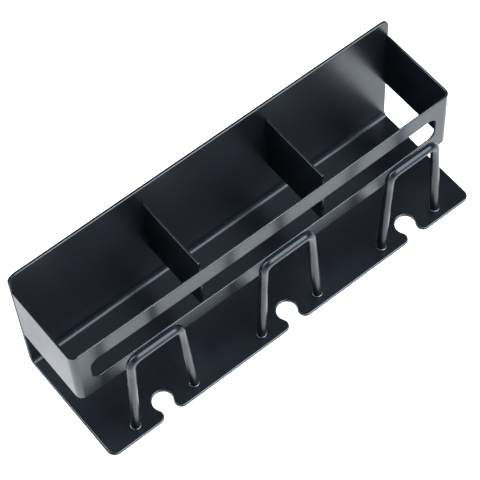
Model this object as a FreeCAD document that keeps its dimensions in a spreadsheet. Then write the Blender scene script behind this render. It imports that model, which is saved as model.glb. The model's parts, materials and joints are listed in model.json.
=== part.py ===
"""Wall rack for a washstand: a bent back-and-shelf panel, a U-shaped guard band
with a long window, two dividers, three wire loops standing on the shelf and
adhesive pads on the back.

Axes: X along the rack, -Y away from the wall, +Z up. The wall is the plane
y = 0, and the origin is the middle of the centre pad's wall side.
"""
import FreeCAD, Part
import Sketcher
import math
import os

V = FreeCAD.Vector
doc = FreeCAD.newDocument("wall_rack")

# ---------------------------------------------------------------- dimensions
SIZES = [
    # alias, value in mm, what it is
    ("rack_length", 300.0, "overall length of the bent panel and of the band"),
    ("shelf_depth", 90.0, "front edge of the shelf from the back of the plate"),
    ("plate_height", 108.0, "top of the back plate above the shelf underside"),
    ("panel_gauge", 2.0, "sheet thickness of the back-and-shelf panel"),
    ("panel_bend", 3.5, "inside radius of the bend between plate and shelf"),
    ("corner_round", 6.0, "rounding of the panel's four free corners"),
    ("band_depth", 64.0, "outer face of the band's front from the back of the plate"),
    ("band_bottom", 39.5, "lower edge of the band above the shelf underside"),
    ("band_height", 52.0, "height of the band and of the dividers"),
    ("band_gauge", 1.5, "sheet thickness of the band"),
    ("band_bend", 3.5, "inside radius of the band's two front bends"),
    ("window_length", 276.0, "length of the window in the band's front"),
    ("window_height", 22.0, "height of the window"),
    ("window_sill", 14.5, "strip left below the window"),
    ("window_round", 6.5, "corner radius of the window"),
    ("divider_pitch", 98.0, "distance between the two dividers"),
    ("divider_shift", 1.5, "how far both dividers stand to the left of the rack's middle"),
    ("divider_gauge", 1.5, "sheet thickness of a divider"),
    ("divider_depth", 56.5, "how far a divider stands out from the plate's face"),
    ("divider_round", 1.2, "rounding of a divider's two front corners"),
    ("loop_pitch", 102.0, "distance between neighbouring loops and notches"),
    ("loop_plane", 81.0, "the loops' plane from the back of the plate"),
    ("wire_radius", 3.0, "radius of the round wire"),
    ("foot_span", 47.0, "distance between a loop's two foot holes"),
    ("wire_span", 47.2, "distance between a loop's ends before they are trimmed"),
    ("ring_span", 46.8, "distance between a loop's two foot rings"),
    ("trim", 1.0, "length trimmed off the ends, level with the shelf underside"),
    ("crown_span", 37.0, "distance between a loop's upper corners before bending"),
    ("crown_height", 83.0, "centre of a loop's top bar above the shelf underside"),
    ("loop_bend", 6.5, "centre-line radius of a loop's two bends"),
    ("foot_hole_radius", 3.2, "holes that the wire feet stand in"),
    ("ring_inner", 3.1, "bore radius of the ring round each foot"),
    ("ring_outer", 3.75, "outer radius of that ring"),
    ("ring_height", 0.7, "height of that ring"),
    ("notch_radius", 7.0, "radius of the round part of a notch"),
    ("notch_lip", 5.0, "radius of the lips at a notch's mouth"),
    ("notch_mouth", 10.0, "narrowest width between the lips"),
    ("pad_width", 60.0, "adhesive pad, along the rack"),
    ("pad_height", 60.0, "adhesive pad, upright"),
    ("pad_gauge", 1.2, "adhesive pad thickness"),
    ("pad_pitch", 105.0, "distance between neighbouring pads"),
    ("pad_centre", 60.0, "middle of the pads above the shelf underside"),
    ("pad_round", 4.0, "rounding of the pad corners"),
]
sheet = doc.addObject("Spreadsheet::Sheet", "dims")
for i, (alias, value, words) in enumerate(SIZES, 1):
    sheet.set("A%d" % i, words)
    sheet.set("B%d" % i, str(value))
    sheet.setAlias("B%d" % i, alias)
doc.recompute()


def val(alias):
    return float(getattr(sheet, alias))


# ------------------------------------------------------------------- helpers
def plane(body, role):
    for f in body.Origin.OriginFeatures:
        if f.Role == role:
            return f
    raise ValueError(role)


def new_body(label):
    body = doc.addObject("PartDesign::Body", label)
    body.Label = label
    return body


def new_sketch(body, name, role):
    sk = body.newObject("Sketcher::SketchObject", name)
    sk.AttachmentSupport = [(plane(body, role), "")]
    sk.MapMode = "FlatFace"
    return sk


def bind(sk, index, expression):
    sk.setExpression("Constraints[%d]" % index, expression)


def outline(sk, points):
    """Closed outline of straight sides, each level or upright.

    points holds (x, y, x expression, y expression). Every corner is placed by
    its distance from the sketch's origin, and an expression of None leaves the
    coordinate to a neighbour.
    """
    n = len(points)
    for i in range(n):
        a, b = points[i], points[(i + 1) % n]
        sk.addGeometry(Part.LineSegment(V(a[0], a[1], 0), V(b[0], b[1], 0)), False)
    for i in range(n):
        sk.addConstraint(Sketcher.Constraint("Coincident", i, 2, (i + 1) % n, 1))
    for i in range(n):
        a, b = points[i], points[(i + 1) % n]
        kind = "Horizontal" if abs(a[1] - b[1]) < 1e-9 else "Vertical"
        sk.addConstraint(Sketcher.Constraint(kind, i))
    for i, (x, y, ex, ey) in enumerate(points):
        if ex is not None:
            if ex == "0":
                sk.addConstraint(Sketcher.Constraint("PointOnObject", i, 1, -2))
            elif x < 0:
                bind(sk, sk.addConstraint(Sketcher.Constraint("DistanceX", i, 1, -1, 1, -x)), ex)
            else:
                bind(sk, sk.addConstraint(Sketcher.Constraint("DistanceX", -1, 1, i, 1, x)), ex)
        if ey is not None:
            if ey == "0":
                sk.addConstraint(Sketcher.Constraint("PointOnObject", i, 1, -1))
            elif y < 0:
                bind(sk, sk.addConstraint(Sketcher.Constraint("DistanceY", i, 1, -1, 1, -y)), ey)
            else:
                bind(sk, sk.addConstraint(Sketcher.Constraint("DistanceY", -1, 1, i, 1, y)), ey)


def solved(sk):
    if sk.solve() != 0:
        raise RuntimeError("sketch doesn't solve: " + sk.Name)


def pad(body, name, sk, length, midplane=False, flip=False):
    doc.recompute()
    solved(sk)
    f = body.newObject("PartDesign::Pad", name)
    f.Profile = sk
    f.setExpression("Length", length)
    f.Midplane = midplane
    f.Reversed = flip
    sk.Visibility = False
    doc.recompute()
    return f


def fillet(body, name, base, test, radius):
    names = ["Edge%d" % (i + 1) for i, e in enumerate(base.Shape.Edges) if test(e)]
    if not names:
        raise ValueError("no edges for " + name)
    f = body.newObject("PartDesign::Fillet", name)
    f.Base = (base, names)
    f.setExpression("Radius", radius)
    doc.recompute()
    return f


def runs(e, axis):
    """True for a straight edge along axis 0, 1 or 2."""
    if e.Curve.TypeId != "Part::GeomLine":
        return False
    d = e.Vertexes[1].Point - e.Vertexes[0].Point
    return abs(abs(d[axis]) - d.Length) < 1e-6


def at(e, axis, value, tol=0.05):
    return all(abs(v.Point[axis] - value) < tol for v in e.Vertexes)


def place(body, x="0 mm", y="0 mm", z="0 mm"):
    """Puts a body in the rack's frame: the fitting coordinates start at the
    back of the plate and the shelf's underside, and the wall is a pad away."""
    body.setExpression("Placement.Base.x", x)
    body.setExpression("Placement.Base.y", "%s - dims.pad_gauge * 1 mm" % y)
    body.setExpression("Placement.Base.z", "%s - dims.pad_centre * 1 mm" % z)


HALF = val("rack_length") / 2
made = []

# ------------------------------------------------- 1. back-and-shelf panel
body = new_body("back_shelf_panel")
prof = new_sketch(body, "panel_profile", "YZ_Plane")
D, H, T = val("shelf_depth"), val("plate_height"), val("panel_gauge")
outline(prof, [
    (0, 0, "0", "0"),
    (0, H, None, "dims.plate_height"),
    (-T, H, "dims.panel_gauge", None),
    (-T, T, None, "dims.panel_gauge"),
    (-D, T, "dims.shelf_depth", None),
    (-D, 0, None, None),
])
f = pad(body, "panel_pad", prof, "dims.rack_length", midplane=True)
f = fillet(body, "bend_inside", f,
           lambda e: runs(e, 0) and at(e, 1, -T) and at(e, 2, T), "dims.panel_bend")
f = fillet(body, "bend_outside", f,
           lambda e: runs(e, 0) and at(e, 1, 0) and at(e, 2, 0),
           "dims.panel_bend + dims.panel_gauge")
f = fillet(body, "plate_corners", f,
           lambda e: runs(e, 1) and at(e, 2, H) and abs(abs(e.Vertexes[0].Point.x) - HALF) < 0.05,
           "dims.corner_round")
f = fillet(body, "shelf_corners", f,
           lambda e: runs(e, 2) and at(e, 1, -D) and abs(abs(e.Vertexes[0].Point.x) - HALF) < 0.05,
           "dims.corner_round")

# keyhole notch in the shelf's front edge: a round hole, a narrower mouth and
# two rounded lips, all in one smooth line
R, r, a = val("notch_radius"), val("notch_lip"), val("notch_mouth") / 2 + val("notch_lip")
dy = ((R + r) ** 2 - a ** 2) ** 0.5
yc = -D + r + dy
tang = math.degrees(math.atan2(dy, a))
X0 = -val("loop_pitch")
notch = new_sketch(body, "notch_outline", "XY_Plane")


def arc(cx, cy, rad, a0, a1):
    return Part.ArcOfCircle(Part.Circle(V(cx, cy, 0), V(0, 0, 1), rad),
                            math.radians(a0), math.radians(a1))


notch.addGeometry(arc(X0, yc, R, -tang, 180 + tang), False)
notch.addGeometry(arc(X0 - a, -D + r, r, -90, tang), False)
notch.addGeometry(arc(X0 + a, -D + r, r, 180 - tang, 270), False)
OUT = 3.0
notch.addGeometry(Part.LineSegment(V(X0 - a, -D, 0), V(X0 - a, -D - OUT, 0)), False)
notch.addGeometry(Part.LineSegment(V(X0 - a, -D - OUT, 0), V(X0 + a, -D - OUT, 0)), False)
notch.addGeometry(Part.LineSegment(V(X0 + a, -D - OUT, 0), V(X0 + a, -D, 0)), False)
C = Sketcher.Constraint
notch.addConstraint(C("Tangent", 0, 2, 1, 2))
notch.addConstraint(C("Tangent", 0, 1, 2, 1))
notch.addConstraint(C("Coincident", 1, 1, 3, 1))
notch.addConstraint(C("Coincident", 3, 2, 4, 1))
notch.addConstraint(C("Coincident", 4, 2, 5, 1))
notch.addConstraint(C("Coincident", 5, 2, 2, 2))
notch.addConstraint(C("Vertical", 3))
notch.addConstraint(C("Horizontal", 4))
notch.addConstraint(C("Vertical", 5))
notch.addConstraint(C("Vertical", 1, 3, 1, 1))
notch.addConstraint(C("Vertical", 2, 3, 2, 2))
notch.addConstraint(C("Equal", 1, 2))
bind(notch, notch.addConstraint(C("Radius", 1, r)), "dims.notch_lip")
bind(notch, notch.addConstraint(C("Radius", 0, R)), "dims.notch_radius")
bind(notch, notch.addConstraint(C("DistanceX", 1, 3, 2, 3, 2 * a)),
     "dims.notch_mouth + 2 * dims.notch_lip")
bind(notch, notch.addConstraint(C("DistanceX", 0, 3, -1, 1, -X0)), "dims.loop_pitch")
bind(notch, notch.addConstraint(C("DistanceY", 1, 1, -1, 1, D)), "dims.shelf_depth")
notch.addConstraint(C("DistanceY", 3, 2, 3, 1, OUT))
doc.recompute()
solved(notch)

cut = body.newObject("PartDesign::Pocket", "notch_cut")
cut.Profile = notch
cut.Type = "ThroughAll"
cut.Midplane = True
notch.Visibility = False
doc.recompute()
rows = body.newObject("PartDesign::LinearPattern", "notch_row")
rows.Originals = [cut]
rows.Direction = (plane(body, "X_Axis"), [""])
rows.setExpression("Length", "2 * dims.loop_pitch")
rows.Occurrences = 3
body.Tip = rows
doc.recompute()

# two holes for a loop's feet, repeated for the three loops
feet = new_sketch(body, "foot_holes", "XY_Plane")
for k, sx in enumerate((-1, 1)):
    x = X0 + sx * val("foot_span") / 2
    feet.addGeometry(Part.Circle(V(x, -val("loop_plane"), 0), V(0, 0, 1), val("foot_hole_radius")), False)
    bind(feet, feet.addConstraint(C("Radius", k, val("foot_hole_radius"))), "dims.foot_hole_radius")
    bind(feet, feet.addConstraint(C("DistanceX", k, 3, -1, 1, -x)),
         "dims.loop_pitch %s dims.foot_span / 2" % ("+" if sx < 0 else "-"))
    bind(feet, feet.addConstraint(C("DistanceY", k, 3, -1, 1, val("loop_plane"))), "dims.loop_plane")
doc.recompute()
solved(feet)
drill = body.newObject("PartDesign::Pocket", "foot_hole_cut")
drill.Profile = feet
drill.Type = "ThroughAll"
drill.Midplane = True
feet.Visibility = False
doc.recompute()
drills = body.newObject("PartDesign::LinearPattern", "foot_hole_row")
drills.Originals = [drill]
drills.Direction = (plane(body, "X_Axis"), [""])
drills.setExpression("Length", "2 * dims.loop_pitch")
drills.Occurrences = 3
body.Tip = drills
place(body)
doc.recompute()
made.append(body)

# ------------------------------------------------------------ 2. guard band
body = new_body("guard_band")
plan = new_sketch(body, "band_plan", "XY_Plane")
W, G = val("band_depth"), val("band_gauge")
outline(plan, [
    (-HALF, -T, "dims.rack_length / 2", "dims.panel_gauge"),
    (-HALF, -W, None, "dims.band_depth"),
    (HALF, -W, "dims.rack_length / 2", None),
    (HALF, -T, None, "dims.panel_gauge"),
    (HALF - G, -T, "dims.rack_length / 2 - dims.band_gauge", None),
    (HALF - G, -W + G, None, "dims.band_depth - dims.band_gauge"),
    (-HALF + G, -W + G, "dims.rack_length / 2 - dims.band_gauge", None),
    (-HALF + G, -T, None, None),
])
f = pad(body, "band_pad", plan, "dims.band_height")
f = fillet(body, "band_bend_inside", f,
           lambda e: runs(e, 2) and at(e, 1, -W + G), "dims.band_bend")
f = fillet(body, "band_bend_outside", f,
           lambda e: runs(e, 2) and at(e, 1, -W), "dims.band_bend + dims.band_gauge")
opening = new_sketch(body, "window_outline", "XZ_Plane")
wl, wh, ws = val("window_length") / 2, val("window_height"), val("window_sill")
outline(opening, [
    (-wl, ws, "dims.window_length / 2", "dims.window_sill"),
    (wl, ws, "dims.window_length / 2", None),
    (wl, ws + wh, None, "dims.window_sill + dims.window_height"),
    (-wl, ws + wh, None, None),
])
doc.recompute()
solved(opening)
cut = body.newObject("PartDesign::Pocket", "window_cut")
cut.Profile = opening
cut.Type = "ThroughAll"
opening.Visibility = False
doc.recompute()
before = f.Shape.Volume
if before - cut.Shape.Volume < 1.0:
    cut.Reversed = True
    doc.recompute()
f = fillet(body, "window_corners", cut,
           lambda e: runs(e, 1) and abs(abs(e.Vertexes[0].Point.x) - wl) < 0.05,
           "dims.window_round")
body.Tip = f
place(body, z="dims.band_bottom * 1 mm")
doc.recompute()
made.append(body)

# --------------------------------------------------------------- 3. dividers
for label, side in (("divider_left", -1), ("divider_right", 1)):
    body = new_body(label)
    face = new_sketch(body, label + "_outline", "YZ_Plane")
    dd, bh = val("divider_depth"), val("band_height")
    outline(face, [
        (-T, 0, "dims.panel_gauge", "0"),
        (-T, bh, None, "dims.band_height"),
        (-T - dd, bh, "dims.panel_gauge + dims.divider_depth", None),
        (-T - dd, 0, None, None),
    ])
    f = pad(body, label + "_pad", face, "dims.divider_gauge", midplane=True)
    f = fillet(body, label + "_corners", f,
               lambda e: runs(e, 0) and at(e, 1, -T - dd), "dims.divider_round")
    body.Tip = f
    place(body, x="(%d * dims.divider_pitch / 2 - dims.divider_shift) * 1 mm" % side, z="dims.band_bottom * 1 mm")
    doc.recompute()
    made.append(body)

# ------------------------------------------------------------ 4. wire loops
# Each loop is one bent wire: two legs that lean towards each other and a level
# top bar, with its feet cut level with the shelf's underside.
fs, cs, ch, lb = val("wire_span") / 2, val("crown_span") / 2, val("crown_height"), val("loop_bend")
tr = val("trim")
lean = math.atan2(fs - cs, ch + tr)
cut_back = lb * math.tan((math.pi / 2 - lean) / 2)
ux, uz = math.sin(lean), math.cos(lean)
for label, side in (("wire_loop_left", -1), ("wire_loop_centre", 0), ("wire_loop_right", 1)):
    body = new_body(label)
    path = new_sketch(body, label + "_path", "XZ_Plane")
    # left leg, bend, top bar, bend, right leg
    p = [V(-fs, -tr, 0), V(-cs - ux * cut_back, ch - uz * cut_back, 0), V(-cs + cut_back, ch, 0),
         V(cs - cut_back, ch, 0), V(cs + ux * cut_back, ch - uz * cut_back, 0), V(fs, -tr, 0)]
    cl = V(-cs + cut_back, ch - lb, 0)
    cr = V(cs - cut_back, ch - lb, 0)
    top = math.pi / 2
    path.addGeometry(Part.LineSegment(p[0], p[1]), False)
    path.addGeometry(Part.ArcOfCircle(Part.Circle(cl, V(0, 0, 1), lb), top, math.pi - lean), False)
    path.addGeometry(Part.LineSegment(p[2], p[3]), False)
    path.addGeometry(Part.ArcOfCircle(Part.Circle(cr, V(0, 0, 1), lb), lean, top), False)
    path.addGeometry(Part.LineSegment(p[4], p[5]), False)
    # a helper point on each leg's line at the top bar's level fixes the lean
    path.addGeometry(Part.Point(V(-cs, ch, 0)), True)
    path.addGeometry(Part.Point(V(cs, ch, 0)), True)
    path.addConstraint(C("Tangent", 0, 2, 1, 2))
    path.addConstraint(C("Tangent", 1, 1, 2, 1))
    path.addConstraint(C("Tangent", 2, 2, 3, 2))
    path.addConstraint(C("Tangent", 3, 1, 4, 1))
    bind(path, path.addConstraint(C("DistanceY", 0, 1, -1, 1, tr)), "dims.trim")
    path.addConstraint(C("Symmetric", 0, 1, 4, 2, -2))
    path.addConstraint(C("Symmetric", 5, 1, 6, 1, -2))
    path.addConstraint(C("PointOnObject", 5, 1, 0))
    path.addConstraint(C("PointOnObject", 5, 1, 2))
    path.addConstraint(C("PointOnObject", 6, 1, 2))
    path.addConstraint(C("PointOnObject", 6, 1, 4))
    path.addConstraint(C("Equal", 1, 3))
    bind(path, path.addConstraint(C("Radius", 1, lb)), "dims.loop_bend")
    bind(path, path.addConstraint(C("DistanceX", 0, 1, 4, 2, 2 * fs)), "dims.wire_span")
    bind(path, path.addConstraint(C("DistanceX", 5, 1, 6, 1, 2 * cs)), "dims.crown_span")
    bind(path, path.addConstraint(C("DistanceY", -1, 1, 5, 1, ch)), "dims.crown_height")
    doc.recompute()
    solved(path)
    ring = new_sketch(body, label + "_section", "XY_Plane")
    ring.setExpression("AttachmentOffset.Base.z", "-dims.trim * 1 mm")
    ring.addGeometry(Part.Circle(V(-fs, 0, 0), V(0, 0, 1), val("wire_radius")), False)
    ring.addConstraint(C("PointOnObject", 0, 3, -1))
    bind(ring, ring.addConstraint(C("Radius", 0, val("wire_radius"))), "dims.wire_radius")
    bind(ring, ring.addConstraint(C("DistanceX", 0, 3, -1, 1, fs)), "dims.wire_span / 2")
    doc.recompute()
    wire = body.newObject("PartDesign::AdditivePipe", label + "_wire")
    wire.Profile = ring
    wire.Spine = (path, ["Edge1", "Edge2", "Edge3", "Edge4", "Edge5"])
    wire.Mode = "Standard"
    path.Visibility = False
    ring.Visibility = False
    body.Tip = wire
    doc.recompute()
    # both ends are cut level with the shelf's underside
    ends = new_sketch(body, label + "_ends", "XY_Plane")
    for j, sx in enumerate((-1, 1)):
        ends.addGeometry(Part.Circle(V(sx * fs, 0, 0), V(0, 0, 1), 2 * val("wire_radius")), False)
        ends.addConstraint(C("PointOnObject", j, 3, -1))
        bind(ends, ends.addConstraint(C("Radius", j, 2 * val("wire_radius"))), "2 * dims.wire_radius")
        bind(ends, ends.addConstraint(C("DistanceX", *((j, 3, -1, 1) if sx < 0 else (-1, 1, j, 3)), fs)),
             "dims.wire_span / 2")
    doc.recompute()
    solved(ends)
    cut = body.newObject("PartDesign::Pocket", label + "_trim")
    cut.Profile = ends
    cut.Type = "ThroughAll"
    ends.Visibility = False
    doc.recompute()
    if wire.Shape.Volume - cut.Shape.Volume > 200.0:      # only the ends come off
        cut.Reversed = True
        doc.recompute()
    body.Tip = cut
    place(body, x="%d * dims.loop_pitch * 1 mm" % side, y="-dims.loop_plane * 1 mm")
    doc.recompute()
    made.append(body)

# ----------------------------------------------------- 5. rings at the feet
# A small rounded ring closes each foot hole on the shelf's upper side.
NAMES = ("left_outer", "left_inner", "centre_left", "centre_right", "right_inner", "right_outer")
k = 0
for side in (-1, 0, 1):
    for foot in (-1, 1):
        body = new_body("foot_ring_" + NAMES[k])
        sec = new_sketch(body, "ring_section_%d" % k, "XZ_Plane")
        ri, ro, rh = val("ring_inner"), val("ring_outer"), val("ring_height")
        outline(sec, [
            (ri, 0, "dims.ring_inner", "0"),
            (ro, 0, "dims.ring_outer", None),
            (ro, rh, None, "dims.ring_height"),
            (ri, rh, None, None),
        ])
        doc.recompute()
        rev = body.newObject("PartDesign::Revolution", "ring_turn_%d" % k)
        rev.Profile = sec
        rev.ReferenceAxis = (plane(body, "Z_Axis"), [""])
        rev.Angle = 360.0
        sec.Visibility = False
        doc.recompute()
        f = body.newObject("PartDesign::Fillet", "ring_round_%d" % k)
        f.Base = (rev, ["Edge%d" % (i + 1) for i, e in enumerate(rev.Shape.Edges)
                        if e.Curve.TypeId == "Part::GeomCircle" and abs(e.Curve.Radius - ro) < 0.01
                        and abs(e.Curve.Center.z - rh) < 0.01])
        f.setExpression("Radius", "dims.ring_height * 0.7")
        body.Tip = f
        place(body,
              x="(%d * dims.loop_pitch + %d * dims.ring_span / 2) * 1 mm" % (side, foot),
              y="-dims.loop_plane * 1 mm", z="dims.panel_gauge * 1 mm")
        doc.recompute()
        made.append(body)
        k += 1

# ------------------------------------------------------- 6. adhesive pads
for label, side in (("adhesive_pad_left", -1), ("adhesive_pad_centre", 0), ("adhesive_pad_right", 1)):
    body = new_body(label)
    face = new_sketch(body, label + "_outline", "XZ_Plane")
    pw, ph = val("pad_width") / 2, val("pad_height") / 2
    outline(face, [
        (-pw, -ph, "dims.pad_width / 2", "dims.pad_height / 2"),
        (pw, -ph, "dims.pad_width / 2", None),
        (pw, ph, None, "dims.pad_height / 2"),
        (-pw, ph, None, None),
    ])
    f = pad(body, label + "_pad", face, "dims.pad_gauge")
    if f.Shape.BoundBox.YMax < 0.1:      # the pad lies between plate and wall
        f.Reversed = True
        doc.recompute()
    f = fillet(body, label + "_corners", f,
               lambda e: runs(e, 1), "dims.pad_round")
    body.Tip = f
    place(body, x="%d * dims.pad_pitch * 1 mm" % side, z="dims.pad_centre * 1 mm")
    doc.recompute()
    made.append(body)

# ------------------------------------------------------------------- output
doc.recompute()
bad = [o.Name for o in doc.Objects if "Invalid" in o.State or "Error" in o.State]
if bad:
    raise RuntimeError("broken features: " + ", ".join(bad))
for body in made:
    if body.Shape.isNull() or not body.Shape.isValid() or len(body.Shape.Solids) != 1:
        raise RuntimeError("bad shape: " + body.Label)
os.makedirs("parts", exist_ok=True)
for body in made:
    body.Shape.exportStep(os.path.join("parts", body.Label + ".step"))
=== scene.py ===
"""Washstand wall rack: the sheet-metal and wire pieces remeshed with their real
rounded edges and a satin black powder coat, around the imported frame.
"""
import bpy
import json
import math
import numpy as np
from mathutils import Vector, Matrix
from mathutils.geometry import delaunay_2d_cdt


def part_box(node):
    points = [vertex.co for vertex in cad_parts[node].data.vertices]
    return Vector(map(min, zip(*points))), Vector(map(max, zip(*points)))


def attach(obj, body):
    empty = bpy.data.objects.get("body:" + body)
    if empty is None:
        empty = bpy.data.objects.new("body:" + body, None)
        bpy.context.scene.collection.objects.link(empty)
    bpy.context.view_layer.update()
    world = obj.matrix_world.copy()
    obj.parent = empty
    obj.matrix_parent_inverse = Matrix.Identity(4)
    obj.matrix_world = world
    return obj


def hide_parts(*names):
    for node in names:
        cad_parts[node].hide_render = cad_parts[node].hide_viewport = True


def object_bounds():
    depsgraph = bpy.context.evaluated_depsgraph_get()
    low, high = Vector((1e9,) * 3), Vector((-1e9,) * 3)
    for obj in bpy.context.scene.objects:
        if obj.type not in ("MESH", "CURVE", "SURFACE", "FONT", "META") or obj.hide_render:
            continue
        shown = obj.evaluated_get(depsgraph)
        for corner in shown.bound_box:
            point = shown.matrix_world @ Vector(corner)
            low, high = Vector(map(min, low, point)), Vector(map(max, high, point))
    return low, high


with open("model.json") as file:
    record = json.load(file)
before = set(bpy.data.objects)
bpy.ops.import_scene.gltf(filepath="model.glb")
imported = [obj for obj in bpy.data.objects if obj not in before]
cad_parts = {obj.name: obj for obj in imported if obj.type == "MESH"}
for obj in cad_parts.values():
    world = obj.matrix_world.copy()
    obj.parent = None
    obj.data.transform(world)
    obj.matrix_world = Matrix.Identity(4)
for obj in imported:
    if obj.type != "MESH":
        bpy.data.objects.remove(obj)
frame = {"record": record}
cad_lo, cad_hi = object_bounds()
record = frame["record"]

# ------------------------------------------------------------ sizes from CAD
MM = 0.001


def mm(v):
    return [c * 1000.0 for c in v]


panel_lo, panel_hi = map(mm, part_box("back_shelf_panel"))
band_lo, band_hi = map(mm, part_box("guard_band"))
ORG = Vector((0.0, panel_hi[1], panel_lo[2]))          # fitting origin in the row frame, mm

HALF = (panel_hi[0] - panel_lo[0]) / 2                  # 150
DEPTH = panel_hi[1] - panel_lo[1]                       # 90
TALL = panel_hi[2] - panel_lo[2]                        # 108
GAUGE = 2.0
BEND = 3.5
CORNER = 6.0
BAND_OUT = -(band_lo[1] - ORG.y)                        # 64
BAND_LOW = band_lo[2] - ORG.z                           # 39.5
BAND_HIGH = band_hi[2] - band_lo[2]                     # 52
BAND_T = 1.5
BAND_BEND = 3.5
WIN_L, WIN_H, WIN_SILL, WIN_R = 276.0, 22.0, 14.5, 6.5
NOTCH_R, NOTCH_LIP, NOTCH_MOUTH = 7.0, 5.0, 10.0


# ------------------------------------------------------------- mesh helpers
def arc_points(cx, cy, r, a0, a1, n):
    return [(cx + r * math.cos(math.radians(a0 + (a1 - a0) * i / n)),
             cy + r * math.sin(math.radians(a0 + (a1 - a0) * i / n))) for i in range(n + 1)]


def rounded(points, radii, step=7.5):
    """Counter-clockwise polygon with each corner rounded to its radius."""
    out = []
    n = len(points)
    for i in range(n):
        p, a, b = Vector(points[i]), Vector(points[i - 1]), Vector(points[(i + 1) % n])
        r = radii[i]
        u, v = (a - p).normalized(), (b - p).normalized()
        ang = u.angle(v)
        if r <= 0 or ang > math.radians(179):
            out.append(tuple(p))
            continue
        cut = r / math.tan(ang / 2)
        c = p + (u + v).normalized() * (r / math.sin(ang / 2))
        s, e = p + u * cut - c, p + v * cut - c
        a0, a1 = math.atan2(s.y, s.x), math.atan2(e.y, e.x)
        d = (a1 - a0 + math.pi) % (2 * math.pi) - math.pi
        k = max(3, int(math.ceil(abs(math.degrees(d)) / step)))
        out += [(c.x + r * math.cos(a0 + d * j / k), c.y + r * math.sin(a0 + d * j / k)) for j in range(k + 1)]
    return out


def dedupe(loop, tol=1e-4):
    out = []
    for p in loop:
        if not out or (Vector(p) - Vector(out[-1])).length > tol:
            out.append(tuple(p))
    if (Vector(out[0]) - Vector(out[-1])).length <= tol:
        out.pop()
    return out


def with_cuts(loop, axis, values):
    """Adds a point wherever a side crosses one of the values of that axis."""
    out = []
    n = len(loop)
    for i in range(n):
        p, q = loop[i], loop[(i + 1) % n]
        out.append(p)
        hits = []
        for v in values:
            a, b = p[axis], q[axis]
            if (a - v) * (b - v) < -1e-12 and abs(a - v) > 1e-5 and abs(b - v) > 1e-5:
                hits.append((v - a) / (b - a))
        for t in sorted(hits):
            out.append((p[0] + (q[0] - p[0]) * t, p[1] + (q[1] - p[1]) * t))
    return out


def offsets(loop, material_left):
    """Unit direction out of the material at each point, with its mitre length."""
    n = len(loop)
    res = []
    for i in range(n):
        p, a, b = Vector(loop[i]), Vector(loop[i - 1]), Vector(loop[(i + 1) % n])
        e0, e1 = (p - a).normalized(), (b - p).normalized()
        n0, n1 = Vector((e0.y, -e0.x)), Vector((e1.y, -e1.x))
        m = (n0 + n1).normalized()
        k = 1.0 / max(0.4, m.dot(n0))
        if not material_left:
            m = -m
        res.append((m.x, m.y, k))
    return res


def inside(pt, loop):
    x, y = pt
    hit = False
    n = len(loop)
    for i in range(n):
        (x0, y0), (x1, y1) = loop[i], loop[(i + 1) % n]
        if (y0 > y) != (y1 > y) and x < (x1 - x0) * (y - y0) / (y1 - y0) + x0:
            hit = not hit
    return hit


def plain_rim(which, sn, u, v):
    """Painted highlight on a rim: full on its front (upper) rounding; painted shade (dull) on its wall and rear."""
    if which == 0 and sn < (0.6 if abs(u) > HALF - 2.5 else 0.99):
        return min(1.0, sn * 2.6)
    return -min(1.0, sn * 1.5)


def band_rim(which, sn, u, v):
    """The band's rim gets a painted shade line first, then a painted highlight over the top.

    Round its two corners and along its sides the painted highlight sits on the inner rounding.
    """
    if not U2 < u < U3:
        if which == 0:
            return 0.0 if sn < 0.05 else (0.3 if sn < 0.8 else -1.0)
        return 0.0 if sn < 0.05 else (1.0 if sn < 0.8 else -0.2)
    if which == 0:
        return 0.0 if sn < 0.05 else (-1.0 if sn < 0.5 else 0.75)
    return 0.60 * sn if u < U2 + 0.72 * FRONT else -0.8 * sn


def both_rims(which, sn, u, v):
    """A thin sheet seen from both sides: both roundings carry the painted highlight."""
    return min(1.0, sn * 2.0) if sn < 0.99 else 0.2


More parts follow.
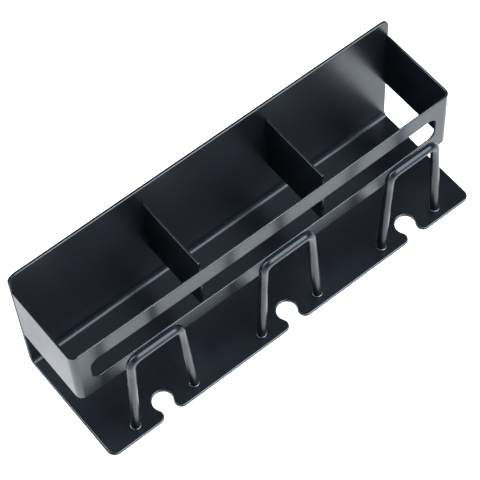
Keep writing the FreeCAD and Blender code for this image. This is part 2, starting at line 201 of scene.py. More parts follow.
def sheet_mesh(name, outline, holes, gauge, edge, mapper, cut_axis=None, cuts=(), seg=4, rim=plain_rim, painted_lift=None):
    """A sheet of the given gauge with rounded edges all round.

    outline is counter-clockwise, holes are counter-clockwise too. mapper turns
    (u, v, w) and a normal (nu, nv, nw) into a point and a normal in millimetres;
    w runs from -gauge/2 to +gauge/2. The rim gets a point attribute "edge".
    """
    verts, norms, rim_glint_shade, painted_shading, faces = [], [], [], [], []
    loops = [(dedupe(outline), True)] + [(dedupe(h), False) for h in holes]
    loops = [(with_cuts(l, cut_axis, cuts) if cuts else l, m) for l, m in loops]
    if not callable(edge):
        def radii(u, v, r=edge):
            return r, r
    else:
        radii = edge
    prof = []
    for k in range(seg + 1):
        f = math.pi / 2 * k / seg
        prof.append((0, math.sin(f), math.cos(f)))
    for k in range(seg, -1, -1):
        f = math.pi / 2 * k / seg
        prof.append((1, math.sin(f), -math.cos(f)))
    top_rings, low_rings = [], []
    for loop, left in loops:
        # material lies to the left of the outline; a hole's outline has it on the right
        off = offsets(loop, left)
        rings = []
        for which, sn, cs in prof:
            ids = []
            for (x, y), (mx, my, k) in zip(loop, off):
                rr = radii(x, y)[which]
                inset = rr * (1 - sn)
                w = (gauge / 2 - rr + rr * abs(cs)) * (1 if which == 0 else -1)
                ids.append(len(verts))
                verts.append((x - mx * k * inset, y - my * k * inset, w))
                norms.append((mx * sn, my * sn, cs))
                # painted highlight and shade on the rim, placed by rim() on the lit or dull part of the rounding
                rim_glint_shade.append(rim(which, sn, x, y))
                # painted light and shade on the flat faces and rim, from the lift function if given
                painted_shading.append(painted_lift(x, y, which) * (1 - sn) if painted_lift else 0.0)
            rings.append(ids)
        n = len(loop)
        for r0, r1 in zip(rings, rings[1:]):
            for i in range(n):
                j = (i + 1) % n
                f = (r0[i], r1[i], r1[j], r0[j])
                faces.append(f if left else f[::-1])
        top_rings.append(rings[0])
        low_rings.append(rings[-1])
    # flat faces: one constrained triangulation, used on both sides
    pts, src, edges, bound = [], [], [], []
    for ring in top_rings:
        s = len(pts)
        for v in ring:
            src.append(v)
            pts.append(Vector(verts[v][:2]))
        m = len(ring)
        edges += [(s + i, s + (i + 1) % m) for i in range(m)]
        bound.append([tuple(pts[s + i]) for i in range(m)])
    if cuts:
        other = 1 - cut_axis
        for v in cuts:
            row = sorted([i for i, p in enumerate(pts) if abs(p[cut_axis] - v) < 1e-4], key=lambda i: pts[i][other])
            for a, b in zip(row, row[1:]):
                mid = (pts[a] + pts[b]) / 2
                if inside(tuple(mid), bound[0]) and not any(inside(tuple(mid), h) for h in bound[1:]):
                    edges.append((a, b))
    co, _, tri, ov, _, _ = delaunay_2d_cdt(pts, edges, [], 0, 1e-7)
    back = []
    for k, o in enumerate(ov):
        if not o:
            raise RuntimeError(name + ": the triangulation added a point")
        back.append(o[0])
    low_of = {}
    for tr, lr in zip(top_rings, low_rings):
        for a, b in zip(tr, lr):
            low_of[a] = b
    for f in tri:
        c = sum((Vector(co[i]) for i in f), Vector((0, 0))) / len(f)
        if not inside(tuple(c), bound[0]) or any(inside(tuple(c), h) for h in bound[1:]):
            continue
        ids = [src[back[i]] for i in f]
        a, b, d = (Vector(verts[i][:2]) for i in ids[:3])
        if (b - a).cross(d - a) < 0:
            ids = ids[::-1]
        faces.append(tuple(ids))
        faces.append(tuple(low_of[i] for i in reversed(ids)))
    P, N = [], []
    for v, n in zip(verts, norms):
        p, q = mapper(v, n)
        P.append(p)
        N.append(q)
    return finish_mesh(name, P, faces, N, rim_glint_shade, painted_shading)


def finish_mesh(name, P, faces, N, rim_glint_shade, painted_shading=None):
    """Mesh object in the row frame from points in fitting millimetres."""
    pts = [tuple((Vector(p) + ORG) * MM) for p in P]
    me = bpy.data.meshes.new(name)
    me.from_pydata(pts, [], [list(f) for f in faces])
    me.update()
    # outward faces: compare the first face with its analytic normals
    flips = 0
    for poly in me.polygons:
        n = sum((Vector(N[i]) for i in poly.vertices), Vector())
        if n.dot(poly.normal) < 0:
            flips += 1
    if flips > len(me.polygons) / 2:
        me.flip_normals()
    me.shade_smooth()
    at = me.attributes.new("edge", "FLOAT", "POINT")
    at.data.foreach_set("value", np.array(rim_glint_shade, np.float32))
    if painted_shading and any(painted_shading):
        at = me.attributes.new("painted_shading", "FLOAT", "POINT")
        at.data.foreach_set("value", np.array(painted_shading, np.float32))
    me.normals_split_custom_set_from_vertices([tuple(Vector(n).normalized()) for n in N])
    me.validate()
    ob = bpy.data.objects.new(name, me)
    bpy.context.scene.collection.objects.link(ob)
    return ob


# ---------------------------------------------------------------- materials
def nodes_of(mat):
    mat.use_nodes = True
    nt = mat.node_tree
    for n in list(nt.nodes):
        nt.nodes.remove(n)
    return nt


def coat(name, rim_glint_color, low, high, rough, ior, shine, seed=0.0):
    """Satin powder coat: fine orange peel, slow tone drift, painted highlight and shade on the rims broken up like
    wear, and painted light and shade from a second attribute.
    """
    mat = bpy.data.materials.new(name)
    nt = nodes_of(mat)
    N, L = nt.nodes, nt.links
    out = N.new("ShaderNodeOutputMaterial")
    bs = N.new("ShaderNodeBsdfPrincipled")
    bs.inputs["IOR"].default_value = ior
    bs.inputs["Specular Tint"].default_value = (0.78, 0.885, 1.0, 1.0)
    L.new(bs.outputs[0], out.inputs[0])
    tc = N.new("ShaderNodeTexCoord")
    mp = N.new("ShaderNodeMapping")
    mp.inputs["Location"].default_value = (seed, seed * 0.37, -seed * 0.61)
    L.new(tc.outputs["Object"], mp.inputs[0])

    def noise(scale, detail, roughness, src=mp):
        n = N.new("ShaderNodeTexNoise")
        n.inputs["Scale"].default_value = scale
        n.inputs["Detail"].default_value = detail
        n.inputs["Roughness"].default_value = roughness
        L.new(src.outputs[0], n.inputs["Vector"])
        return n

    def remap(sock, a, b, c, d):
        m = N.new("ShaderNodeMapRange")
        m.inputs[1].default_value, m.inputs[2].default_value = a, b
        m.inputs[3].default_value, m.inputs[4].default_value = c, d
        L.new(sock, m.inputs[0])
        return m.outputs[0]

    # tone: slow drift over the sheet and a fine pigment grain
    drift = noise(14.0, 3.0, 0.55)
    grain = noise(2600.0, 2.0, 0.6)
    mix = N.new("ShaderNodeMix")
    mix.data_type = "RGBA"
    mix.inputs[6].default_value = (*low, 1)
    mix.inputs[7].default_value = (*high, 1)
    add = N.new("ShaderNodeMath")
    add.operation = "ADD"
    L.new(remap(drift.outputs[0], 0.3, 0.7, 0.0, 0.7), add.inputs[0])
    L.new(remap(grain.outputs[0], 0.35, 0.65, 0.0, 0.3), add.inputs[1])
    L.new(add.outputs[0], mix.inputs[0])
    # painted highlight on the lit rims: paler colour where the edge attribute is positive, broken up by a noise like
    # wear
    edge = N.new("ShaderNodeAttribute")
    edge.attribute_name = "edge"
    chew = noise(420.0, 3.0, 0.6)
    rim_glint_and_wear = N.new("ShaderNodeMath")
    rim_glint_and_wear.operation = "MULTIPLY"
    L.new(remap(edge.outputs["Fac"], 0.0, 1.0, 0.0, 1.0), rim_glint_and_wear.inputs[0])
    L.new(remap(chew.outputs[0], 0.42, 0.68, 0.15, 1.0), rim_glint_and_wear.inputs[1])
    rim_glint_mix = N.new("ShaderNodeMix")
    rim_glint_mix.data_type = "RGBA"
    L.new(rim_glint_and_wear.outputs[0], rim_glint_mix.inputs[0])
    L.new(mix.outputs[2], rim_glint_mix.inputs[6])
    rim_glint_mix.inputs[7].default_value = (*rim_glint_color, 1)
    # painted light and shade: the shading attribute read here makes the colour paler where positive and darker where
    # negative
    painted_shading_node = N.new("ShaderNodeAttribute")
    painted_shading_node.attribute_name = "painted_shading"
    painted_shade_scale = N.new("ShaderNodeVectorMath")
    painted_shade_scale.operation = "SCALE"
    L.new(rim_glint_mix.outputs[2], painted_shade_scale.inputs[0])
    L.new(remap(painted_shading_node.outputs["Fac"], -0.16, 0.0, 0.6, 1.0), painted_shade_scale.inputs["Scale"])
    painted_highlight_add = N.new("ShaderNodeVectorMath")
    painted_highlight_add.operation = "MULTIPLY_ADD"
    painted_highlight_add.inputs[0].default_value = (0.0064, 0.0077, 0.0108)
    L.new(remap(painted_shading_node.outputs["Fac"], 0.0, 0.5, 0.0, 0.5), painted_highlight_add.inputs[1])
    L.new(painted_shade_scale.outputs[0], painted_highlight_add.inputs[2])
    L.new(painted_highlight_add.outputs[0], bs.inputs["Base Color"])
    # roughness: drift, handling marks, a little smoother on the rims with the painted highlight
    marks = noise(60.0, 5.0, 0.6)
    r1 = remap(marks.outputs[0], 0.3, 0.7, rough - 0.012, rough + 0.012)
    sub = N.new("ShaderNodeMath")
    sub.operation = "MULTIPLY_ADD"
    L.new(rim_glint_and_wear.outputs[0], sub.inputs[0])
    sub.inputs[1].default_value = -0.05
    L.new(r1, sub.inputs[2])
    L.new(sub.outputs[0], bs.inputs["Roughness"])
    # specular level: raised on the rims with the painted highlight, lowered where the rim attribute paints shade,
    # and shifted by the painted light and shade attribute
    lvl = N.new("ShaderNodeMath")
    lvl.operation = "ADD"
    L.new(remap(edge.outputs["Fac"], 0.0, 1.0, 0.5, shine), lvl.inputs[0])
    L.new(remap(edge.outputs["Fac"], -1.0, 0.0, -0.42, 0.0), lvl.inputs[1])
    top = N.new("ShaderNodeMath")
    top.operation = "ADD"
    L.new(lvl.outputs[0], top.inputs[0])
    L.new(painted_shading_node.outputs["Fac"], top.inputs[1])
    L.new(top.outputs[0], bs.inputs["Specular IOR Level"])
    # relief: orange peel of about 0.8 mm and the sheet's slow waviness
    peel = noise(1250.0, 2.0, 0.5)
    wave = noise(22.0, 1.0, 0.5)
    b1 = N.new("ShaderNodeBump")
    b1.inputs["Strength"].default_value = 1.0
    b1.inputs["Distance"].default_value = 0.00006
    L.new(wave.outputs[0], b1.inputs["Height"])
    b2 = N.new("ShaderNodeBump")
    b2.inputs["Strength"].default_value = 0.35
    b2.inputs["Distance"].default_value = 0.00001
    L.new(peel.outputs[0], b2.inputs["Height"])
    L.new(b1.outputs[0], b2.inputs["Normal"])
    L.new(b2.outputs[0], bs.inputs["Normal"])
    return mat


def foam(name):
    mat = bpy.data.materials.new(name)
    nt = nodes_of(mat)
    N, L = nt.nodes, nt.links
    out = N.new("ShaderNodeOutputMaterial")
    bs = N.new("ShaderNodeBsdfPrincipled")
    L.new(bs.outputs[0], out.inputs[0])
    tc = N.new("ShaderNodeTexCoord")
    vo = N.new("ShaderNodeTexVoronoi")
    vo.inputs["Scale"].default_value = 900.0
    L.new(tc.outputs["Object"], vo.inputs["Vector"])
    no = N.new("ShaderNodeTexNoise")
    no.inputs["Scale"].default_value = 55.0
    no.inputs["Detail"].default_value = 4.0
    L.new(tc.outputs["Object"], no.inputs["Vector"])
    ramp = N.new("ShaderNodeValToRGB")
    ramp.color_ramp.elements[0].position = 0.3
    ramp.color_ramp.elements[0].color = (0.26, 0.26, 0.25, 1)
    ramp.color_ramp.elements[1].position = 0.7
    ramp.color_ramp.elements[1].color = (0.42, 0.42, 0.41, 1)
    L.new(no.outputs[0], ramp.inputs[0])
    mul = N.new("ShaderNodeMix")
    mul.data_type = "RGBA"
    mul.blend_type = "MULTIPLY"
    mul.inputs[0].default_value = 0.35
    L.new(ramp.outputs[0], mul.inputs[6])
    L.new(vo.outputs["Distance"], mul.inputs[7])
    L.new(mul.outputs[2], bs.inputs["Base Color"])
    rr = N.new("ShaderNodeMapRange")
    rr.inputs[3].default_value, rr.inputs[4].default_value = 0.62, 0.82
    L.new(no.outputs[0], rr.inputs[0])
    L.new(rr.outputs[0], bs.inputs["Roughness"])
    bp = N.new("ShaderNodeBump")
    bp.inputs["Strength"].default_value = 0.6
    bp.inputs["Distance"].default_value = 0.0001
    L.new(vo.outputs["Distance"], bp.inputs["Height"])
    L.new(bp.outputs[0], bs.inputs["Normal"])
    return mat


SHEET = coat("black_coat_sheet", (0.030, 0.033, 0.038), (0.0031, 0.0039, 0.0057), (0.0036, 0.0045, 0.0065), 0.285, 1.40, 1.25)
WIRE = coat("black_coat_wire", (0.030, 0.033, 0.038), (0.0031, 0.0039, 0.0057), (0.0036, 0.0045, 0.0065), 0.28, 1.45, 0.8, seed=3.1)
BEAD = coat("black_coat_bead", (0.030, 0.033, 0.038), (0.0031, 0.0039, 0.0057), (0.0036, 0.0045, 0.0065), 0.24, 1.48, 2.0, seed=5.3)
THIN = coat("black_coat_divider", (0.030, 0.033, 0.038), (0.0031, 0.0039, 0.0057), (0.0036, 0.0045, 0.0065), 0.285, 1.38, 0.8, seed=1.3)
FOAM = foam("pad_foam_grey")


def add(ob, mat, slot, *nodes):
    ob.data.materials.append(mat)
    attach(ob, "root")
    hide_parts(*nodes)
    return ob


# ------------------------------------------------------- back-and-shelf panel
MID = BEND + GAUGE / 2
FLAT = DEPTH - GAUGE - BEND                              # shelf's flat length
ARC = MID * math.pi / 2
RISE = TALL - GAUGE - BEND
TOTAL = FLAT + ARC + RISE


def panel_map(v, n):
    u, s, w = v
    if s <= FLAT + 1e-9:
        f, y, z = 0.0, -DEPTH + s, GAUGE / 2 + w
    elif s < FLAT + ARC:
        f = (s - FLAT) / MID
        y, z = -(GAUGE + BEND) + (MID - w) * math.sin(f), (GAUGE + BEND) - (MID - w) * math.cos(f)
    else:
        f, y, z = math.pi / 2, -GAUGE / 2 - w, (GAUGE + BEND) + (s - FLAT - ARC)
    c, q = math.cos(f), math.sin(f)
    nu, ns, nw = n
    return (u, y, z), (nu, ns * c - nw * q, ns * q + nw * c)


def panel_edge(u, s):
    """Front (upper) and rear (lower) edge radius: fuller on the shelf's rim."""
    t = min(1.0, max(0.0, (s - 0.4 * FLAT) / (0.5 * RISE)))
    f = min(1.0, max(0.0, (abs(u) - HALF + 3.0) / 2.5))
    return 0.85 - 0.27 * t + f * 0.45 * (1 - t), 0.60 - 0.25 * t - f * (0.40 - 0.25 * t)


# painted light and shade through the bend (degrees) and up the plate (mm above it): paler and more specular where
# positive, darker where negative
BEND_PAINTED_SHADING = [(0, -0.06), (8, -0.08), (16, 0.02), (23, 0.16), (30, 0.13), (37, -0.12), (45, -0.16),
              (53, 0.08), (61, 0.40), (71, 0.45), (82, 0.45), (90, 0.42)]
RISE_PAINTED_SHADING = [(0, 0.42), (1.5, 0.40), (4.5, 0.34), (9.5, 0.20), (14.5, 0.10), (22.5, 0.04)]


def ramp(table, t):
    """Piecewise linear table, constant beyond its ends."""
    for (a, p), (b, q) in zip(table, table[1:]):
        if t <= b:
            return p + (q - p) * max(0.0, t - a) / (b - a)
    return table[-1][1]


def bend_painted_shading(u, s, which):
    """Painted light and shade in and just above the bend: paler and more specular where positive, darker where
    negative; the shelf top gets a slight painted shade.
    """
    if which == 1:
        return 0.0
    if s <= FLAT:
        return -0.06
    if s < FLAT + ARC:
        return ramp(BEND_PAINTED_SHADING, 90 * (s - FLAT) / ARC)
    return ramp(RISE_PAINTED_SHADING, s - FLAT - ARC)


def notch_points(cx, n_big=40, n_lip=12):
    """One notch from left to right along the front edge (s = 0)."""
    R, r = NOTCH_R, NOTCH_LIP
    a = NOTCH_MOUTH / 2 + r
    dy = math.sqrt((R + r) ** 2 - a * a)
    t = math.degrees(math.atan2(dy, a))
    left = arc_points(cx - a, r, r, -90, t, n_lip)
    big = arc_points(cx, r + dy, R, 180 + t, -t, n_big)
    right = arc_points(cx + a, r, r, 180 - t, 270, n_lip)
    return left + big[1:-1] + right


centres = sorted(m["pos_m"][0] * 1000 for m in record["mounts"] if m["kind"] == "clamp")
front = []
c = CORNER
front += arc_points(-HALF + c, c, c, 180, 270, 12)
for cx in centres:
    front += notch_points(cx)
front += arc_points(HALF - c, c, c, 270, 360, 12)
top = arc_points(HALF - c, TOTAL - c, c, 0, 90, 12) + arc_points(-HALF + c, TOTAL - c, c, 90, 180, 12)
outline = front + top
LOOPS = ["wire_loop_left", "wire_loop_centre", "wire_loop_right"]
RINGS = ["foot_ring_left_outer", "foot_ring_left_inner", "foot_ring_centre_left",
         "foot_ring_centre_right", "foot_ring_right_inner", "foot_ring_right_outer"]
holes = []
feet = []
for r in RINGS:
    lo, hi = map(mm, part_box(r))
    cx, cy = (lo[0] + hi[0]) / 2, (lo[1] + hi[1]) / 2 - ORG.y
    feet.append((cx, cy))
for (cx, cy) in feet:
    holes.append(arc_points(cx, cy + DEPTH, 3.2, 0, 360, 40)[:-1])
n_bend = 18
cuts = [FLAT + ARC * i / n_bend for i in range(n_bend + 1)] + [FLAT + ARC + h for h, g in RISE_PAINTED_SHADING[1:]]
panel = sheet_mesh("panel_skin", outline, holes, GAUGE, panel_edge, panel_map, 1, cuts, painted_lift=bend_painted_shading)
add(panel, SHEET, "black_coat", "back_shelf_panel")

# ---------------------------------------------------------------- guard band
BM = BAND_BEND + BAND_T / 2
BO = BAND_BEND + BAND_T
SIDE = BAND_OUT - BO - GAUGE                             # straight part of a side
BARC = BM * math.pi / 2
FRONT = 2 * (HALF - BO)
U1, U2, U3, U4 = SIDE, SIDE + BARC, SIDE + BARC + FRONT, SIDE + 2 * BARC + FRONT
UEND = U4 + SIDE


BOW = 1.0                                                # the front bulges this much in its middle


def band_map(v, n):
    p, q = band_flat(v, n)
    # the strip is pulled in a little towards its two bends
    k = BOW * min(1.0, abs(p[0]) / (HALF - BO)) ** 2 / (BAND_OUT - GAUGE)
    return (p[0], -GAUGE + (p[1] + GAUGE) * (1 - k), p[2]), q


def band_flat(v, n):
    u, s, w = v
    z = BAND_LOW + s
    if u <= U1:
        x, y, t = -HALF + BAND_T / 2 - w, -GAUGE - u, -math.pi / 2
    elif u < U2:
        f = (u - U1) / BM
        x, y, t = -HALF + BO - (BM + w) * math.cos(f), -BAND_OUT + BO - (BM + w) * math.sin(f), -math.pi / 2 + f
    elif u <= U3:
        x, y, t = -HALF + BO + (u - U2), -BAND_OUT + BAND_T / 2 - w, 0.0
    elif u < U4:
        f = (u - U3) / BM
        x, y, t = HALF - BO + (BM + w) * math.sin(f), -BAND_OUT + BO - (BM + w) * math.cos(f), f
    else:
        x, y, t = HALF - BAND_T / 2 + w, -BAND_OUT + BO + (u - U4), math.pi / 2
    # along the strip: (cos t, sin t); out of it: (sin t, -cos t)
    nu, ns, nw = n
    return (x, y, z), (nu * math.cos(t) + nw * math.sin(t), nu * math.sin(t) - nw * math.cos(t), ns)


strip = rounded([(0, 0), (UEND, 0), (UEND, BAND_HIGH), (0, BAND_HIGH)], [1.0] * 4, 22.5)
mid = UEND / 2
window = rounded([(mid - WIN_L / 2, WIN_SILL), (mid + WIN_L / 2, WIN_SILL),
                  (mid + WIN_L / 2, WIN_SILL + WIN_H), (mid - WIN_L / 2, WIN_SILL + WIN_H)], [WIN_R] * 4)
bcuts = [U1 + BARC * i / 12 for i in range(13)] + [U3 + BARC * i / 12 for i in range(13)]
bcuts += [U2 + FRONT * i / 24 for i in range(1, 24)]
# painted highlight: the band's inner face gets a paler colour and a higher specular level than its outer face
band = sheet_mesh("band_skin", strip, [window], BAND_T, 0.60, band_map, 0, bcuts, rim=band_rim,
                  painted_lift=lambda u, v, which: 0.20 * which)
add(band, SHEET, "black_coat", "guard_band")

# ------------------------------------------------------------------ dividers
for node in ("divider_left", "divider_right"):
    lo, hi = map(mm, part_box(node))
    x = (lo[0] + hi[0]) / 2
    y0, y1 = lo[1] - ORG.y, hi[1] - ORG.y
    z0, z1 = lo[2] - ORG.z, hi[2] - ORG.z

    def div_map(v, n, x=x):
        return (x + v[2], v[0], v[1]), (n[2], n[0], n[1])

    shape = rounded([(y0, z0), (y1, z0), (y1, z1), (y0, z1)], [1.2, 0.6, 0.6, 1.2])
    ob = sheet_mesh(node + "_skin", shape, [], hi[0] - lo[0], 0.32, div_map, rim=both_rims)
    add(ob, THIN, "black_coat", node)

# ------------------------------------------------------------- adhesive pads
for node in ("adhesive_pad_left", "adhesive_pad_centre", "adhesive_pad_right"):
    lo, hi = map(mm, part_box(node))
    y = (lo[1] + hi[1]) / 2 - ORG.y

    def pad_map(v, n, y=y):
        return (v[0], y - v[2], v[1]), (n[0], -n[2], n[1])

    shape = rounded([(lo[0], lo[2] - ORG.z), (hi[0], lo[2] - ORG.z), (hi[0], hi[2] - ORG.z), (lo[0], hi[2] - ORG.z)],
                    [4.0] * 4)
    ob = sheet_mesh(node + "_foam", shape, [], hi[1] - lo[1], 0.2, pad_map, seg=2)
    add(ob, FOAM, "pad_foam", node)


# ---------------------------------------------------------------- wire loops
def tube(name, path, radius, sides=40, cap=0.35):
    """Round wire along an upright path in the XZ plane at y = path[i][1]."""
    path = [Vector(p) for p in path]
    verts, norms, rim_glint_shade, painted_shading, faces = [], [], [], [], []
    tang = []
    for i, p in enumerate(path):
        a = path[i] - path[i - 1] if i else path[1] - path[0]
        b = path[i + 1] - path[i] if i < len(path) - 1 else path[i] - path[i - 1]
        tang.append((a.normalized() + b.normalized()).normalized())
    side = Vector((0, 1, 0))
    stations = []

    def level(p, t, r, tilt):
        """Records a ring square to t; the end rings are slid level to the shelf further down."""
        stations.append((p, t, r, tilt))

    for i, (p, t) in enumerate(zip(path, tang)):
        level(p, t, radius, 0.0)
    rings = []
    for p, t, r, tilt in stations:
        n = t.cross(side).normalized()
        ids = []
        for k in range(sides):
            f = 2 * math.pi * k / sides
            d = n * math.cos(f) + side * math.sin(f)
            ids.append(len(verts))
            verts.append(p + d * r)
            norms.append(d + t * tilt)
            rim_glint_shade.append(0.0)
        rings.append(ids)
    # the two ends are cut level: slide the end rings along the wire to z = 0
    for ring, t in ((rings[0], tang[0]), (rings[-1], tang[-1])):
        for v in ring:
            q = verts[v]
            verts[v] = q + t * ((0.0 + cap - q.z) / t.z)
    for r0, r1 in zip(rings, rings[1:]):
        for k in range(sides):
            j = (k + 1) % sides
            faces.append((r0[k], r0[j], r1[j], r1[k]))
    # rounded rim and flat end at each cut
    for ring, first in ((rings[0], True), (rings[-1], False)):
        prev = ring
        centre = sum((verts[v] for v in ring), Vector()) / sides
        for j in range(1, 4):
            f = math.pi / 2 * j / 3
            ids = []
            for v in ring:
                d = (verts[v] - centre)
                d.z = 0
                u = d.normalized()
                q = centre + u * (d.length - cap * (1 - math.cos(f)))
                q.z = cap * (1 - math.sin(f))
                ids.append(len(verts))
                verts.append(q)
                norms.append(u * math.cos(f) - Vector((0, 0, 1)) * math.sin(f))
                # painted highlight on the rounded rim of each cut end
                rim_glint_shade.append(0.6)
            for k in range(sides):
                m = (k + 1) % sides
                f4 = (prev[k], ids[k], ids[m], prev[m])
                faces.append(f4 if first else f4[::-1])
            prev = ids
        faces.append(tuple(prev) if first else tuple(prev[::-1]))
    # painted shade: the wire's colour and specular level darken over its lower part, below 76 mm
    return finish_mesh(name, verts, faces, norms, rim_glint_shade, [-0.20 * min(1.0, max(0.0, (76.0 - p[2]) / 10.0)) for p in verts])


for node in LOOPS:
    lo, hi = map(mm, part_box(node))
    cx = (lo[0] + hi[0]) / 2
    y = (lo[1] + hi[1]) / 2 - ORG.y
    rad = (hi[1] - lo[1]) / 2
    crown = hi[2] - ORG.z - rad
    half_foot, half_crown, lb, tr = 23.6, 18.5, 6.5, 1.0
    lean = math.atan2(half_foot - half_crown, crown + tr)
    ux, uz = math.sin(lean), math.cos(lean)
    cb = lb * math.tan((math.pi / 2 - lean) / 2)
    path = []
    foot_x = half_foot - tr * ux / uz
    a = Vector((-foot_x, 0))
    b = Vector((-half_crown - ux * cb, crown - uz * cb))
    for i in range(0, 15):
        path.append(a.lerp(b, i / 15))
    nb = 16
    a0 = math.degrees(math.pi - lean)
    for i in range(nb + 1):
        f = math.radians(a0 + (90 - a0) * i / nb)
        path.append(Vector((-half_crown + cb + lb * math.cos(f), crown - lb + lb * math.sin(f))))
    for i in range(1, 8):
        path.append(Vector((-half_crown + cb, crown)).lerp(Vector((half_crown - cb, crown)), i / 8))
    for i in range(nb + 1):
        f = math.radians(90 + (math.degrees(lean) - 90) * i / nb)
        path.append(Vector((half_crown - cb + lb * math.cos(f), crown - lb + lb * math.sin(f))))
    a, b = Vector((half_crown + ux * cb, crown - uz * cb)), Vector((foot_x, 0))
    for i in range(1, 16):
        path.append(a.lerp(b, i / 15))
    ob = tube(node + "_wire", [(cx + p.x, y, p.y) for p in path], rad)
    add(ob, WIRE, "black_wire", node)


# ---------------------------------------------------------------- foot rings
def ring_mesh(name, cx, cy, z0, r_in, r_out, height, phase, sides=64):
    """Weld collar: a low rounded bead that wanders a little round the wire."""
    verts, norms, rim_glint_shade, painted_shading, faces = [], [], [], [], []
    rd = height * 0.7
    prof = [(r_in, 0.0, -1.0, 0.0), (r_in, height * 0.85, -1.0, 0.1), (r_in + 0.1, height, -0.5, 0.8)]
    for j in range(0, 6):
        f = math.pi / 2 * j / 5
        prof.append((r_out - rd + rd * math.sin(f), height - rd + rd * math.cos(f), math.sin(f), math.cos(f)))
    prof.append((r_out, 0.0, 1.0, 0.0))
    for k in range(sides):
        f = 2 * math.pi * k / sides
        wob = 0.035 * math.sin(3 * f + phase) + 0.02 * math.sin(7 * f + 2.1 * phase)
        for j, (r, z, nr, nz) in enumerate(prof):
            out = (r - r_in) / (r_out - r_in)
            rr = r - 0.055 * out + wob * out
            zz = z * (0.93 + wob * 1.2)
            verts.append(Vector((cx + rr * math.cos(f), cy + rr * math.sin(f), z0 + zz)))
            norms.append(Vector((nr * math.cos(f), nr * math.sin(f), nz)))
            # painted highlight on the bead's upper outer rounding; painted shade (duller) on its inner side and
            # walls
            rim_glint_shade.append(1.0 if nz > 0.2 and out > 0.4 else -0.6)
    m = len(prof)
    for k in range(sides):
        n = (k + 1) % sides
        for j in range(m):
            i = (j + 1) % m
            faces.append((k * m + j, k * m + i, n * m + i, n * m + j))
    ob = finish_mesh(name, verts, faces, norms, rim_glint_shade)
    return ob


for i, node in enumerate(RINGS):
    lo, hi = map(mm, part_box(node))
    cx, cy = (lo[0] + hi[0]) / 2, (lo[1] + hi[1]) / 2 - ORG.y
    ob = ring_mesh(node + "_bead", cx, cy, lo[2] - ORG.z, 3.1, (hi[0] - lo[0]) / 2, hi[2] - lo[2], 1.7 * i)
    add(ob, BEAD, "black_wire", node)

# --------------------------------------------------------------------- stage
WORLD_FRONT, WORLD_BACK, WORLD_TOP = 0.05, 2.0, 0.10
SOFT_W, SOFT_L = 1.3, 8.8
FLOOR_Z = cad_lo[2]
me = bpy.data.meshes.new("studio_floor")
S = 20.0
me.from_pydata([(-S, -S, FLOOR_Z), (S, -S, FLOOR_Z), (S, S, FLOOR_Z), (-S, S, FLOOR_Z)], [], [(0, 1, 2, 3)])
floor = bpy.data.objects.new("studio_floor", me)
bpy.context.scene.collection.objects.link(floor)
fm = bpy.data.materials.new("studio_floor_white")
nt = nodes_of(fm)
out = nt.nodes.new("ShaderNodeOutputMaterial")
bs = nt.nodes.new("ShaderNodeBsdfPrincipled")
nt.links.new(bs.outputs[0], out.inputs[0])
bs.inputs["Base Color"].default_value = (0.8, 0.8, 0.8, 1)
bs.inputs["Roughness"].default_value = 0.9
bs.inputs["Specular IOR Level"].default_value = 0.0
# a light table: it glows most in front of the rack's middle
geo = nt.nodes.new("ShaderNodeNewGeometry")
sep = nt.nodes.new("ShaderNodeSeparateXYZ")
nt.links.new(geo.outputs["Position"], sep.inputs[0])
rng = nt.nodes.new("ShaderNodeMapRange")
rng.inputs[1].default_value, rng.inputs[2].default_value = -0.40, 0.40
nt.links.new(sep.outputs[0], rng.inputs[0])
glow = nt.nodes.new("ShaderNodeValToRGB")
e = glow.color_ramp.elements
e[0].position, e[0].color = 0.0, (0.20, 0.20, 0.20, 1)
e[1].position, e[1].color = 1.0, (0.40, 0.40, 0.40, 1)
for pos, val in ((0.28, 0.40), (0.36, 0.88), (0.64, 0.88), (0.71, 0.55)):
    k = e.new(pos)
    k.color = (val, val, val, 1)
nt.links.new(rng.outputs[0], glow.inputs[0])
bs.inputs["Emission Color"].default_value = (0.93, 0.975, 1.0, 1)
nt.links.new(glow.outputs[0], bs.inputs["Emission Strength"])
me.materials.append(fm)

world = bpy.data.worlds.new("studio")
bpy.context.scene.world = world
world.use_nodes = True
wt = world.node_tree
for n in list(wt.nodes):
    wt.nodes.remove(n)
wo = wt.nodes.new("ShaderNodeOutputWorld")
bg = wt.nodes.new("ShaderNodeBackground")
wt.links.new(bg.outputs[0], wo.inputs[0])
tc = wt.nodes.new("ShaderNodeTexCoord")
sp = wt.nodes.new("ShaderNodeSeparateXYZ")
wt.links.new(tc.outputs["Generated"], sp.inputs[0])


def wmap(sock, a, b, c, d, smooth=True):
    m = wt.nodes.new("ShaderNodeMapRange")
    if smooth:
        m.interpolation_type = "SMOOTHSTEP"
    m.inputs[1].default_value, m.inputs[2].default_value = a, b
    m.inputs[3].default_value, m.inputs[4].default_value = c, d
    wt.links.new(sock, m.inputs[0])
    return m.outputs[0]


def wmath(op, p, q):
    m = wt.nodes.new("ShaderNodeMath")
    m.operation = op
    for i, v in enumerate((p, q)):
        if isinstance(v, (int, float)):
            m.inputs[i].default_value = v
        else:
            wt.links.new(v, m.inputs[i])
    return m.outputs[0]


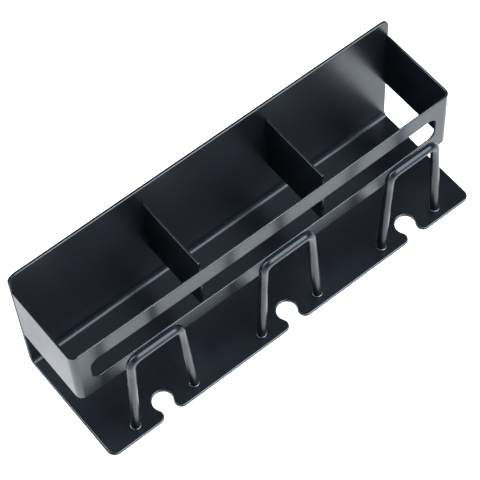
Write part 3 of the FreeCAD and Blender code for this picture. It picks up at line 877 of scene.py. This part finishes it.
# white sweep behind and to the left up to about 22 degrees, a dark room in
# front of the object and above the sweep
side = wmath("ADD", wmath("MULTIPLY", sp.outputs[0], -0.55), wmath("MULTIPLY", sp.outputs[1], 0.85))
around = wmap(side, -0.35, 0.15, WORLD_FRONT, WORLD_BACK)
low = wmap(sp.outputs[2], 0.33, 0.45, 1.0, 0.0)
sky = wmath("ADD", wmath("MULTIPLY", around, low), WORLD_TOP)
wt.links.new(sky, bg.inputs[1])
bg.inputs[0].default_value = (0.93, 0.97, 1.0, 1)


def area(name, loc, target, size, power, color=(1, 1, 1), size_y=None):
    ld = bpy.data.lights.new(name, "AREA")
    ld.energy = power
    ld.color = color
    ld.size = size
    if size_y:
        ld.shape = "RECTANGLE"
        ld.size_y = size_y
    ob = bpy.data.objects.new(name, ld)
    ob.location = loc
    ob.rotation_euler = (Vector(target) - Vector(loc)).to_track_quat("-Z", "Y").to_euler()
    bpy.context.scene.collection.objects.link(ob)
    return ob


# one long overhead softbox, from above the object's back down to the front
area("overhead_softbox", (0.50, -0.795, 1.205), (0.50, -0.795 + 0.463, 1.205 - 0.886), SOFT_W, SOFT_L * math.pi * SOFT_W * 1.91,
     (0.93, 0.97, 1.0), 1.91)
area("left_softbox", (-1.03, 0.73, 1.14), (0.0, 0.0, 0.0), 0.7, 8.5 * math.pi * 0.7 * 1.6, (0.95, 0.98, 1.0), 1.6)

# -------------------------------------------------------------------- camera
cam = bpy.data.cameras.new("camera")
cam.sensor_width = 36.0
cam.lens = 139.143
cam.clip_start, cam.clip_end = 0.01, 50.0
cob = bpy.data.objects.new("camera", cam)
right = (0.78063794, -0.62373064, -0.03955390)
up = (0.55190600, 0.65828127, 0.51192338)
back = (-0.29326470, -0.42145685, 0.85812001)
m = Matrix(((right[0], up[0], back[0], -0.352701),
            (right[1], up[1], back[1], -0.538000 + ORG.y * MM),
            (right[2], up[2], back[2], 1.062206 + ORG.z * MM),
            (0, 0, 0, 1)))
cob.matrix_world = m
bpy.context.scene.collection.objects.link(cob)
bpy.context.scene.camera = cob
bpy.context.scene.view_settings.view_transform = "Standard"
bpy.context.scene.view_settings.look = "None"
